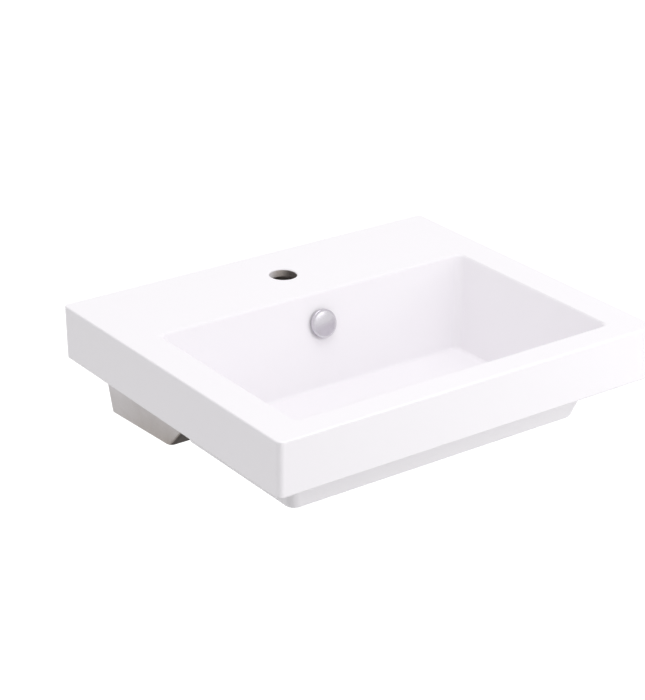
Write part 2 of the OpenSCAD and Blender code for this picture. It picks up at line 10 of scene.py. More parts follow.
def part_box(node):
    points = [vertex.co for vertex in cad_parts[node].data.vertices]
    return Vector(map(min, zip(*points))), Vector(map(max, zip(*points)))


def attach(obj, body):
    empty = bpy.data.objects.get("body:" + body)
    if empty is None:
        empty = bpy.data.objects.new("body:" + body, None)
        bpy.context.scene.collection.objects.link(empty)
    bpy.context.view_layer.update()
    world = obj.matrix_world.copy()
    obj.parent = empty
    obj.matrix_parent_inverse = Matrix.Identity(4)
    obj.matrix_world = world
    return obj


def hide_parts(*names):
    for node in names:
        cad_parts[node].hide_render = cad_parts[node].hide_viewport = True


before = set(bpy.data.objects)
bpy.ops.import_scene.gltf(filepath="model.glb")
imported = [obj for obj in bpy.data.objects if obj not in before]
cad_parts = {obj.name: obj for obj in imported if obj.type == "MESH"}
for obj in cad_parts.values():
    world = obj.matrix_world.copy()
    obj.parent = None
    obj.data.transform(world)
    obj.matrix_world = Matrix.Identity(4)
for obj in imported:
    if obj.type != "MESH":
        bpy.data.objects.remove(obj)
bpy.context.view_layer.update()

MM = 0.001
UP = Vector((0, 0, 1))

# Places taken from the frame, in metres
BASIN_LOW, BASIN_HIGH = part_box("basin_body")
RIM_Z = BASIN_HIGH.z
WASTE_LOW, WASTE_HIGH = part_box("waste_body")
WASTE_Y = (WASTE_LOW.y + WASTE_HIGH.y) / 2
AT_WASTE = Matrix.Translation((0, WASTE_Y, RIM_Z))

# From here on sizes are in millimetres, as the construction has them, and heights are from the rim
BASIN_W = (BASIN_HIGH.x - BASIN_LOW.x) / MM
BASIN_D = -BASIN_LOW.y / MM
HALF_W = BASIN_W / 2
APRON_H = 70
APRON_DRAFT = 2
APRON_CORNER_R = 7
APRON_FOOT_R = 3
RIM_EDGE_R = 4
WALL = 10
BACK_WALL = 14
# Width of the apron's foot, whose inside stands upright
FOOT_W = APRON_DRAFT + WALL
HOLLOW_CORNER_R = 16

# Bowl
SIDE_RIM = 46
FRONT_RIM = 34
TAP_DECK = 141
BOWL_DEPTH = 111
FLOOR_FALL = 6
SIDE_INSET = 30
BACK_INSET = 37
FRONT_INSET = 34
BOWL_CORNER_R = 10
BOWL_LIP_R = 6
FLOOR_R = 9
BOWL_HALF_W = HALF_W - SIDE_RIM
BOWL_FRONT_Y = -(BASIN_D - FRONT_RIM)
BACK_TILT = math.atan(BACK_INSET / BOWL_DEPTH)
FLOOR_Z = -(BOWL_DEPTH + FLOOR_FALL)

# The bowl's underside
SHELL_FOOT_Z = FLOOR_Z - 12.5
SHELL_SIDE = 8
SHELL_CORNER_R = 12
SHELL_FOOT_R = 5

# Fixing blocks
BLOCK_DROP = 160
BLOCK_RISE = 7
BLOCK_INSET = 63.5
BLOCK_W = 132
BLOCK_DRAFT = 15
BLOCK_CORNER_R = 7
BLOCK_FOOT_R = 3.5
BLOCK_FRONT_Y = -(TAP_DECK - 5.5)
# A block's back keeps clear of the wall plane, where the casting's own back lies
BLOCK_BACK_Y = -0.05
# How far behind the bowl's face the front of a block, and of its pocket, ends inside the bowl's wall
BLOCK_REACH = WALL / 2
POCKET_REACH = WALL - 2
# How far behind a block's leaning front its pocket's front leans
POCKET_LEAN = 1.8 * WALL
# A block's sides are straight above this height, inside the apron
BLOCK_ROOT_Z = -APRON_H - 2
POCKET_TOP_Z = -WALL - 2
FIXING_CENTRES = 280
FIXING_HOLE_R = 12

# Holes, duct and waste boss
TAP_HOLE_R = 17.5
TAP_HOLE_Y = -71
TAP_HOLE_EDGE_R = 1.5
OVERFLOW_DROP = 37
OVERFLOW_HOLE_R = 12
DUCT_W = 46
DUCT_T = 12
DUCT_WALL = 7
DUCT_WEB = 8
DUCT_CORNER_R = 3
WASTE_HOLE_R = 23
WASTE_RECESS_R = 33
WASTE_RECESS = 3
HOLE_EDGE_R = 1
# Half the side of the level square around the waste
DRAIN_HALF = WASTE_RECESS_R + 5
RECESS_Z = FLOOR_Z - WASTE_RECESS
DUCT_TOP_Z = RECESS_Z - DUCT_WEB
DUCT_FLOOR_Z = DUCT_TOP_Z - DUCT_T
BOSS_R = 43
BOSS_EDGE_R = 3
BOSS_FOOT = DUCT_FLOOR_Z - DUCT_WALL
BOSS_TOP = FLOOR_Z - 4

# Cutters for rounded hole edges stand this far below the face that they open
STEP = 0.03
# Cutters stand out this far past what they cut
PAST = 3
# Edges that fold by less than this many radians aren't rounded
FOLD = 0.5
# Folds over this many degrees stay crisp in the shading
CERAMIC_CREASE = 35
FITTING_CREASE = 30
# Points closer than this are merged, in metres: after a boolean, and after a spin
WELD = 0.000002
SPIN_WELD = 0.00001


# Mesh helpers

def rim(x, y, z):
    """A point in millimetres, with its height measured from the rim."""
    return Vector((x * MM, y * MM, RIM_Z + z * MM))


def local(x, y, z):
    """A point in millimetres in a fitting's own frame."""
    return Vector((x, y, z)) * MM


def mesh_object(bm, name):
    """Turns a bmesh into an object that isn't in the scene yet."""
    mesh = bpy.data.meshes.new(name)
    bm.to_mesh(mesh)
    bm.free()
    return bpy.data.objects.new(name, mesh)


def new_piece(name, bm, body="basin", smooth=True):
    """Turns a bmesh into an object that rides on a body."""
    for face in bm.faces:
        face.smooth = smooth
    piece = mesh_object(bm, name)
    bpy.context.scene.collection.objects.link(piece)
    if body:
        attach(piece, body)
    return piece


def block(low, high):
    """A box from its lowest to its highest corner."""
    bm = bmesh.new()
    bmesh.ops.create_cube(bm, size=1)
    bmesh.ops.scale(bm, vec=high - low, verts=bm.verts)
    bmesh.ops.translate(bm, vec=(low + high) / 2, verts=bm.verts)
    return bm


def face_towards(bm, direction):
    """The face whose normal points most along a direction."""
    return max(bm.faces, key=lambda f: (f.normal.dot(direction), f.calc_area()))


def corner_to(face, x0, x1, y0, y1, z, tilt=0):
    """Moves a face's four corners to a rectangle at one height, which rises by tilt towards the room."""
    middle = face.calc_center_median()
    for vert in face.verts:
        x = x1 if vert.co.x > middle.x else x0
        y = y1 if vert.co.y > middle.y else y0
        vert.co = rim(x, y, z - tilt * y)


def inset_face(bm, face, *rectangle):
    """Adds a ring of faces inside a face and moves the new middle to a rectangle."""
    bmesh.ops.inset_region(bm, faces=[face], thickness=MM)
    corner_to(face, *rectangle)
    return face


def push_face(bm, face, *rectangle):
    """Extrudes a face to a rectangle."""
    made = bmesh.ops.extrude_discrete_faces(bm, faces=[face])["faces"][0]
    corner_to(made, *rectangle)
    return made


def extrude_all(bm, vec):
    """Extrudes every face of a flat mesh and closes it."""
    made = bmesh.ops.extrude_face_region(bm, geom=list(bm.faces))["geom"]
    bmesh.ops.translate(bm, vec=vec, verts=[v for v in made if isinstance(v, bmesh.types.BMVert)])
    bmesh.ops.recalc_face_normals(bm, faces=bm.faces)


def round_edges(bm, edges, radius, segments):
    """Bevels the edges that are still there."""
    bmesh.ops.bevel(bm, geom=[e for e in edges if e.is_valid], offset=radius * MM, offset_type="OFFSET",
                    segments=segments, profile=0.5, affect="EDGES", clamp_overlap=True, material=-1,
                    loop_slide=True)


def upright_edges(bm, known=()):
    """Edges that stand up more than they lie, apart from known ones."""
    chosen = []
    for edge in bm.edges:
        along = (edge.verts[0].co - edge.verts[1].co).normalized()
        if abs(along.z) > 0.6 and edge not in known:
            chosen.append(edge)
    return chosen


def spun(profile, steps=96):
    """A closed solid of revolution about Z from a profile of (radius, height) in millimetres."""
    bm = bmesh.new()
    verts = [bm.verts.new((r * MM, 0, z * MM)) for r, z in profile]
    edges = [bm.edges.new((verts[i], verts[i + 1])) for i in range(len(verts) - 1)]
    bmesh.ops.spin(bm, geom=verts + edges, cent=(0, 0, 0), axis=UP, angle=math.tau,
                   steps=steps, use_merge=True, use_duplicate=False)
    bmesh.ops.remove_doubles(bm, verts=bm.verts, dist=SPIN_WELD)
    bmesh.ops.recalc_face_normals(bm, faces=bm.faces)
    return bm


def arc(centre_r, centre_z, radius, start, end, steps=8):
    """Points of an arc in a profile, angles in degrees."""
    angles = [math.radians(start + (end - start) * i / steps) for i in range(steps + 1)]
    return [(centre_r + radius * math.cos(a), centre_z + radius * math.sin(a)) for a in angles]


def placed(bm, matrix):
    bmesh.ops.transform(bm, matrix=matrix, verts=bm.verts)
    return bm


def turned(bm, degrees):
    return placed(bm, Matrix.Rotation(math.radians(degrees), 4, "Z"))


def carve(piece, tools, operation="DIFFERENCE"):
    """Joins or cuts a piece with other objects, which are then deleted."""
    for tool in tools:
        bpy.context.scene.collection.objects.link(tool)
        step = piece.modifiers.new("carve", "BOOLEAN")
        step.solver = "EXACT"
        step.operation = operation
        step.object = tool
    graph = bpy.context.evaluated_depsgraph_get()
    made = bpy.data.meshes.new_from_object(piece.evaluated_get(graph))
    piece.modifiers.clear()
    old = piece.data
    piece.data = made
    bpy.data.meshes.remove(old)
    for tool in tools:
        bpy.data.objects.remove(tool)


def mended(mesh):
    """A bmesh of what a boolean left, with its doubled points merged."""
    bm = bmesh.new()
    bm.from_mesh(mesh)
    bmesh.ops.remove_doubles(bm, verts=bm.verts, dist=WELD)
    return bm


def cut_mesh(bm, tool, operation):
    """A mesh cut by another, or kept within it."""
    piece = mesh_object(bm, "cut")
    bpy.context.scene.collection.objects.link(piece)
    carve(piece, [mesh_object(tool, "tool")], operation)
    made = mended(piece.data)
    mesh = piece.data
    bpy.data.objects.remove(piece)
    bpy.data.meshes.remove(mesh)
    return made


def crease(bm, angle):
    """Smooth faces, with folds over an angle in degrees left crisp."""
    for face in bm.faces:
        face.smooth = True
    for edge in bm.edges:
        edge.smooth = not (len(edge.link_faces) == 2 and edge.calc_face_angle(0) > math.radians(angle))


def together(*parts):
    """Several closed meshes in one."""
    whole = bmesh.new()
    for part in parts:
        mesh = bpy.data.meshes.new("part")
        part.to_mesh(mesh)
        part.free()
        whole.from_mesh(mesh)
        bpy.data.meshes.remove(mesh)
    return whole


def between(value, low, high):
    """Where a value lies between two limits, from 0 to 1."""
    return max(0.0, min(1.0, (value - low) / (high - low)))


# Ceramic

def back_y(z, out=0):
    """The bowl's back wall at a height, moved back by out."""
    return -TAP_DECK + BACK_INSET * z / BOWL_DEPTH + out


def bowl_rectangle(z, out=0, side=0):
    """The bowl's plan at a height, moved out by out and at the sides by side too."""
    k = -z / BOWL_DEPTH
    half = BOWL_HALF_W - SIDE_INSET * k + out + side
    return -half, half, BOWL_FRONT_Y + FRONT_INSET * k - out, back_y(z, out), z


def folded_edges(bm, z, inside=None):
    """Level, folded edges at a height: all, or those inside or outside the bowl's mouth."""
    near, margin = 0.1 * MM, 15
    chosen = []
    for edge in bm.edges:
        a, b = (v.co for v in edge.verts)
        if abs(a.z - b.z) > near or abs(a.z - rim(0, 0, z).z) > near or len(edge.link_faces) != 2:
            continue
        middle = (a + b) / 2 / MM
        within = (abs(middle.x) < BOWL_HALF_W + margin
                  and BOWL_FRONT_Y - margin < middle.y < -TAP_DECK + margin)
        if edge.calc_face_angle(0) > FOLD and inside in (None, within):
            chosen.append(edge)
    return chosen


def on_outside(edge):
    """Whether an edge of the apron's foot runs round its outside."""
    inward = FOOT_W - 3
    xs, ys = [v.co.x / MM for v in edge.verts], [v.co.y / MM for v in edge.verts]
    return max(abs(x) for x in xs) > HALF_W - inward or min(ys) < -BASIN_D + inward or max(ys) > -3


def apron_with_bowl():
    """Apron, rims, bowl and the bowl's underside, as one closed shell open below the deck."""
    bm = block(rim(-HALF_W, -BASIN_D, -APRON_H), rim(HALF_W, 0, 0))
    foot = face_towards(bm, -UP)
    corner_to(foot, -HALF_W + APRON_DRAFT, HALF_W - APRON_DRAFT, -BASIN_D + APRON_DRAFT, 0, -APRON_H)
    bm.normal_update()
    outer_edges = set(bm.edges)
    outer_upright = upright_edges(bm)

    # Bowl, from the top face down to the fall around the waste
    mouth = inset_face(bm, face_towards(bm, UP), *bowl_rectangle(0))
    floor = push_face(bm, mouth, *bowl_rectangle(-BOWL_DEPTH))
    bowl_upright = upright_edges(bm, outer_edges)
    drain_y = WASTE_Y / MM
    inset_face(bm, floor, -DRAIN_HALF, DRAIN_HALF, drain_y - DRAIN_HALF, drain_y + DRAIN_HALF, FLOOR_Z)

    # Hollow under the deck, then the bowl's underside inside it
    inner = HALF_W - FOOT_W
    hollow = inset_face(bm, foot, -inner, inner, -BASIN_D + FOOT_W, -BACK_WALL, -APRON_H)
    known = set(bm.edges)
    inner = HALF_W - WALL
    ceiling = push_face(bm, hollow, -inner, inner, -BASIN_D + WALL, -BACK_WALL, -WALL)
    hollow_upright = upright_edges(bm, known)
    root = inset_face(bm, ceiling, *bowl_rectangle(-WALL, WALL, SHELL_SIDE))
    known = set(bm.edges)
    push_face(bm, root, *bowl_rectangle(SHELL_FOOT_Z, WALL, SHELL_SIDE))
    shell_upright = upright_edges(bm, known)

    round_edges(bm, outer_upright, APRON_CORNER_R, 6)
    round_edges(bm, bowl_upright, BOWL_CORNER_R, 8)
    round_edges(bm, hollow_upright, HOLLOW_CORNER_R, 6)
    round_edges(bm, shell_upright, SHELL_CORNER_R, 10)
    bm.normal_update()
    round_edges(bm, folded_edges(bm, 0, inside=False), RIM_EDGE_R, 6)
    round_edges(bm, folded_edges(bm, 0, inside=True), BOWL_LIP_R, 8)
    round_edges(bm, folded_edges(bm, -BOWL_DEPTH), FLOOR_R, 10)
    round_edges(bm, folded_edges(bm, SHELL_FOOT_Z), SHELL_FOOT_R, 8)
    round_edges(bm, [e for e in folded_edges(bm, -APRON_H) if on_outside(e)], APRON_FOOT_R, 5)
    bm.normal_update()
    return bm


def block_share(z):
    """1 at a block's foot, falling to 0 at the apron's foot."""
    return between(-z, APRON_H, BLOCK_DROP)


def block_side(z):
    """The left block's outer side, which leans out towards its foot."""
    return -HALF_W + BLOCK_INSET - BLOCK_DRAFT * (1 - block_share(z))


def block_tilt(z):
    """How steeply a block's section at a height rises towards the room."""
    return BLOCK_RISE * block_share(z) / -BLOCK_FRONT_Y


def leaning_y(z, reach, behind=0):
    """A front that leans forward at 45 degrees until it ends inside the bowl's back wall."""
    return max(BLOCK_FRONT_Y + behind - BLOCK_DROP - z, back_y(z, reach))


def lean_end(reach, behind=0):
    """The height where such a front meets the bowl's back wall."""
    return (BLOCK_FRONT_Y + behind - BLOCK_DROP + TAP_DECK - reach) / (1 + BACK_INSET / BOWL_DEPTH)


def fixing_block(side):
    """One hollow block low at the back, its front leaning forward up to the bowl's back wall."""
    inner = -HALF_W + BLOCK_INSET + BLOCK_W
    foot_tilt = block_tilt(-BLOCK_DROP)

    def section(z):
        return block_side(z), inner, leaning_y(z, BLOCK_REACH), BLOCK_BACK_Y, z, block_tilt(z)

    # Outside, from a plain box whose corners move to where they belong
    bm = block(rim(-200, -100, -BLOCK_DROP), rim(-100, BLOCK_BACK_Y, lean_end(BLOCK_REACH)))
    foot, top = face_towards(bm, -UP), face_towards(bm, UP)
    corner_to(foot, *section(-BLOCK_DROP))
    corner_to(top, *section(lean_end(BLOCK_REACH)))
    top = push_face(bm, top, *section(BLOCK_ROOT_Z))
    push_face(bm, top, *section(-WALL / 2))
    bm.normal_update()

    # Pocket, kept within the bowl wall's thickness where it reaches that wall
    foot = inset_face(bm, face_towards(bm, -UP), block_side(-BLOCK_DROP) + WALL, inner - WALL,
                      BLOCK_FRONT_Y + WALL, -BACK_WALL, -BLOCK_DROP, foot_tilt)
    pocket_end = lean_end(POCKET_REACH, POCKET_LEAN)
    for z in (POCKET_LEAN - WALL - BLOCK_DROP, pocket_end, BLOCK_ROOT_Z, POCKET_TOP_Z):
        front = leaning_y(z, POCKET_REACH, POCKET_LEAN)
        foot = push_face(bm, foot, block_side(z) + WALL, inner - WALL, front, -BACK_WALL, z)
    bm.normal_update()
    round_edges(bm, upright_edges(bm), BLOCK_CORNER_R, 6)
    bm.normal_update()
    foot_z, near = rim(0, 0, -BLOCK_DROP).z, 0.05 * MM
    foot_edges = []
    for edge in bm.edges:
        on_foot = all(abs(v.co.z + foot_tilt * v.co.y - foot_z) < near for v in edge.verts)
        if on_foot and edge.calc_face_angle(0) > FOLD:
            foot_edges.append(edge)
    round_edges(bm, foot_edges, BLOCK_FOOT_R, 5)
    if side > 0:
        bmesh.ops.scale(bm, vec=(-1, 1, 1), verts=bm.verts)
        bmesh.ops.reverse_faces(bm, faces=bm.faces)
    return bm


def duct(grow):
    """The overflow duct behind and under the bowl: its clear way, or its outside with grow as wall."""
    near, behind = DUCT_WEB - grow, DUCT_WEB + DUCT_T + grow
    start = -(OVERFLOW_DROP - OVERFLOW_HOLE_R - 2) + grow
    top, foot = DUCT_TOP_Z + grow, DUCT_FLOOR_Z - grow
    back = back_y(DUCT_FLOOR_Z, behind)
    drain_y = WASTE_Y / MM
    outline = [(back_y(start, near), start), (back_y(start, behind), start), (back, foot + DUCT_T),
               (back - DUCT_T, foot), (drain_y, foot), (drain_y, top), (back_y(top, near), top)]
    half = DUCT_W / 2 + grow
    bm = bmesh.new()
    bm.faces.new([bm.verts.new(rim(-half, y, z)) for y, z in outline])
    extrude_all(bm, (2 * half * MM, 0, 0))
    if grow:
        along = [e for e in bm.edges if abs(e.verts[0].co.x - e.verts[1].co.x) > MM]
        round_edges(bm, along, DUCT_CORNER_R, 4)
    return bm


def overflow_frame():
    """Stands on the bowl's back wall at the overflow, with Z out of the wall."""
    at = rim(0, back_y(-OVERFLOW_DROP), -OVERFLOW_DROP)
    return Matrix.Translation(at) @ Matrix.Rotation(math.pi / 2 - BACK_TILT, 4, "X")


def at_fixing(side):
    """Stands on the wall plane at one fixing, with Z towards the room."""
    at = (side * FIXING_CENTRES / 2 * MM, 0, 0)
    return Matrix.Translation(at) @ Matrix.Rotation(math.pi / 2, 4, "X")


# Raw clay and painted shade, as a face attribute has it: glazed, raw, raw clay painted darker for shade in
# a hollow, and the darkest painted shade, on a block's leaning front
GLAZED, RAW, HOLLOW_CLAY_SHADED, BLOCK_FRONT_SHADE = 0.0, 1.0, 1.6, 1.95
# Painted shade in the tap hole, at its darkest: the wall darkens from left to right between these places,
# for the shade inside the hole
TAP_HOLE_SHADE = 1.75
TAP_SHADE_FROM_X, TAP_SHADE_FULL_X = -12, 16


def bare_and_shade(face):
    """A face's raw clay and painted shade, and 1 on the outside of a block, where the glaze thins out."""
    middle = face.calc_center_median()
    x, y, z = abs(middle.x) / MM, middle.y / MM, (middle.z - RIM_Z) / MM
    # Painted shade: below its rounded edge the tap hole's wall is painted darker towards the right
    if math.hypot(x, y - TAP_HOLE_Y) < TAP_HOLE_R + 0.3 and z > -WALL - 1:
        below_edge = z < -TAP_HOLE_EDGE_R - 0.3
        return (TAP_HOLE_SHADE * between(middle.x / MM, TAP_SHADE_FROM_X, TAP_SHADE_FULL_X) if below_edge else GLAZED), 0.0
    on_back = y > -0.5
    on_block_foot = z < -BLOCK_DROP + 12 and face.normal.z < -0.9
    if on_back or on_block_foot:
        return RAW, 1.0

    # Inside and outside of the casting, each a little wider than its faces
    below_apron = z < -APRON_H + 8
    on_apron = x > HALF_W - 8 or y < -BASIN_D + 8 or z > -WALL + 1
    _, half, front, back, _ = bowl_rectangle(z)
    in_bowl = x < half + 3 and front - 3 < y < back + 3 and z > FLOOR_Z - 5
    under_bowl = below_apron and x < half + 22 and front - 14 < y < back + 12
    lean = leaning_y(z, BLOCK_REACH)
    outer, inner = -block_side(z), HALF_W - BLOCK_INSET - BLOCK_W
    beside = x > outer - 3 or x < inner + 3
    at_corner = y < lean + 14 and (x > outer - 8 or x < inner + 8)
    on_block = below_apron and (beside or y < lean + 10 or at_corner)
    # Painted shade: a block's leaning front, under the bowl, is painted darker the more it faces the room
    if on_block and y > lean - 4 and not in_bowl:
        return BLOCK_FRONT_SHADE * between(-face.normal.y, 0.2, 0.6), 1.0
    # Painted shade: faces in the hollow under the deck are raw clay painted darker
    return (GLAZED if on_apron or in_bowl or under_bowl or on_block else HOLLOW_CLAY_SHADED), 0.0


def hole_cutters():
    """Objects that cut the duct and the holes for waste, tap, overflow and fixings."""
    edge = HOLE_EDGE_R
    waste = spun([(0, BOSS_FOOT - PAST), (WASTE_HOLE_R, BOSS_FOOT - PAST), (WASTE_HOLE_R, RECESS_Z)]
                 + arc(WASTE_RECESS_R - edge, RECESS_Z + edge, edge, -90, 0, 4)
                 + arc(WASTE_RECESS_R + edge, FLOOR_Z - edge - STEP, edge, 180, 90, 4)
                 + [(WASTE_RECESS_R + edge, FLOOR_Z + PAST), (0, FLOOR_Z + PAST)])
    tap_r = TAP_HOLE_R + TAP_HOLE_EDGE_R
    tap = spun([(0, -WALL - PAST), (TAP_HOLE_R, -WALL - PAST)]
               + arc(tap_r, -TAP_HOLE_EDGE_R - STEP, TAP_HOLE_EDGE_R, 180, 90, 6)
               + [(tap_r, PAST), (0, PAST)])
    overflow = spun([(0, -DUCT_WEB - PAST), (OVERFLOW_HOLE_R, -DUCT_WEB - PAST)]
                    + arc(OVERFLOW_HOLE_R + edge, -edge - STEP, edge, 180, 90, 4)
                    + [(OVERFLOW_HOLE_R + edge, PAST), (0, PAST)])
    cutters = [
        mesh_object(duct(0), "duct_way"),
        mesh_object(placed(waste, AT_WASTE), "waste_hole"),
        mesh_object(placed(tap, Matrix.Translation(rim(0, TAP_HOLE_Y, 0))), "tap_hole"),
        mesh_object(placed(overflow, overflow_frame()), "overflow_hole"),
    ]
    for side in (-1, 1):
        bolt = spun([(0, -PAST), (FIXING_HOLE_R, -PAST), (FIXING_HOLE_R, BACK_WALL + PAST),
                     (0, BACK_WALL + PAST)], 64)
        cutters.append(mesh_object(placed(bolt, at_fixing(side)), "bolt_hole"))
    return cutters


def make_basin():
    basin = new_piece("ceramic_basin", apron_with_bowl())
    boss = spun([(0, BOSS_FOOT)] + arc(BOSS_R - BOSS_EDGE_R, BOSS_FOOT + BOSS_EDGE_R, BOSS_EDGE_R, -90, 0)
                + [(BOSS_R, BOSS_TOP), (0, BOSS_TOP)])
    carve(basin, [
        mesh_object(fixing_block(-1), "block_left"),
        mesh_object(fixing_block(1), "block_right"),
        mesh_object(duct(DUCT_WALL), "duct_outside"),
        mesh_object(placed(boss, AT_WASTE), "waste_boss"),
    ], "UNION")
    carve(basin, hole_cutters())

    bm = mended(basin.data)
    crease(bm, CERAMIC_CREASE)
    for layer in ("raw_clay_and_shade", "thin_glaze_and_shade"):
        bm.faces.layers.float.new(layer)
    clay_and_shade_layer, thin_and_shade = (bm.faces.layers.float[layer] for layer in ("raw_clay_and_shade", "thin_glaze_and_shade"))
    for face in bm.faces:
        face[clay_and_shade_layer], face[thin_and_shade] = bare_and_shade(face)
    bm.to_mesh(basin.data)
    bm.free()
    shade = basin.modifiers.new("flat faces stay flat", "WEIGHTED_NORMAL")
    shade.keep_sharp = True
    shade.weight = 80
    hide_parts("basin_body")
    return basin


# Materials

# Between these a noise texture has most of its values
NOISE_LOW, NOISE_HIGH = 0.3, 0.7


def socket(node, name, value):
    node.inputs[name].default_value = value


def group_io(name, inputs, outputs):
    """An empty shader node group with named inputs and outputs."""
    tree = bpy.data.node_groups.new(name, "ShaderNodeTree")
    for label, kind, value in inputs:
        made = tree.interface.new_socket(label, in_out="INPUT", socket_type=kind)
        made.default_value = value
    for label, kind in outputs:
        tree.interface.new_socket(label, in_out="OUTPUT", socket_type=kind)
    return tree, tree.nodes.new("NodeGroupInput"), tree.nodes.new("NodeGroupOutput")


def join(links, node, **sources):
    """Links outputs to a node's inputs, named with _ for a space."""
    for label, source in sources.items():
        links.new(source, node.inputs[label.replace("_", " ")])


def noise(nodes, detail):
    made = nodes.new("ShaderNodeTexNoise")
    socket(made, "Detail", detail)
    return made


def colour_mix(nodes, blend="MIX"):
    made = nodes.new("ShaderNodeMix")
    made.data_type = "RGBA"
    made.blend_type = blend
    return made


def bump_node(nodes, strength, distance):
    made = nodes.new("ShaderNodeBump")
    socket(made, "Strength", strength)
    socket(made, "Distance", distance)
    return made


def surface_grain():
    """Fine unevenness and slight patchiness of a finish, from Object coordinates."""
    number, colour = "NodeSocketFloat", "NodeSocketColor"
    tree, given, result = group_io(
        "surface_grain",
        [("Grain Scale", number, 400.0), ("Patch Scale", number, 12.0),
         ("Colour A", colour, (0.8, 0.8, 0.8, 1)), ("Colour B", colour, (0.7, 0.7, 0.7, 1)),
         ("Roughness Low", number, 0.1), ("Roughness High", number, 0.2)],
        [("Colour", colour), ("Roughness", number), ("Height", number)])
    nodes, links, given = tree.nodes, tree.links, given.outputs
    place = nodes.new("ShaderNodeTexCoord").outputs["Object"]
    fine, patch = noise(nodes, 4), noise(nodes, 2)
    join(links, fine, Vector=place, Scale=given["Grain Scale"])
    join(links, patch, Vector=place, Scale=given["Patch Scale"])
    mix = colour_mix(nodes)
    join(links, mix, Factor=patch.outputs["Fac"], A=given["Colour A"], B=given["Colour B"])
    rough = nodes.new("ShaderNodeMapRange")
    socket(rough, "From Min", NOISE_LOW)
    socket(rough, "From Max", NOISE_HIGH)
    join(links, rough, Value=patch.outputs["Fac"], To_Min=given["Roughness Low"],
         To_Max=given["Roughness High"])
    join(links, result, Colour=mix.outputs["Result"], Roughness=rough.outputs["Result"],
         Height=fine.outputs["Fac"])
    return tree


GRAIN = surface_grain()


def finish_material(name, colour_a, colour_b, rough, grain_scale=400, patch_scale=12, bump=0.05,
                    metallic=0.0, **sockets):
    """A material with grain in its colour, roughness and bump."""
    material = bpy.data.materials.new(name)
    material.use_nodes = True
    nodes, links = material.node_tree.nodes, material.node_tree.links
    shader = nodes["Principled BSDF"]
    grain = nodes.new("ShaderNodeGroup")
    grain.node_tree = GRAIN
    socket(grain, "Colour A", (*colour_a, 1))
    socket(grain, "Colour B", (*colour_b, 1))
    socket(grain, "Roughness Low", rough[0])
    socket(grain, "Roughness High", rough[1])
    socket(grain, "Grain Scale", grain_scale)
    socket(grain, "Patch Scale", patch_scale)
    lift = bump_node(nodes, bump, 0.0005)
    join(links, lift, Height=grain.outputs["Height"])
    join(links, shader, Base_Color=grain.outputs["Colour"], Roughness=grain.outputs["Roughness"],
         Normal=lift.outputs["Normal"])
    socket(shader, "Metallic", metallic)
    for label, value in sockets.items():
        socket(shader, label.replace("_", " "), value)
    return material


def dress(material, *node_names):
    """Gives CAD nodes, which stay as they are, a material."""
    for name in node_names:
        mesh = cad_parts[name].data
        mesh.materials.clear()
        mesh.materials.append(material)


CLAY_LIGHT = (0.61, 0.55, 0.51, 1)
# Painted shade: the near black that the clay goes towards in the hollow, the tap hole and the blocks'
# leaning fronts
CLAY_PAINTED_SHADE = (0.06, 0.05, 0.045, 1)
# In metres, the heights from a block's foot between which its glaze thins out; the raw clay this shows is
# partly real, partly painted shade under the bowl
THIN_HIGH, THIN_LOW = 0.1, -0.005
# In metres, where a block's front is, and how thin its glaze is at its back, less than 1: the clay grows
# towards the front, as painted shade under the bowl
THIN_FRONT_Y, THIN_AT_BACK = -0.137, 0.55


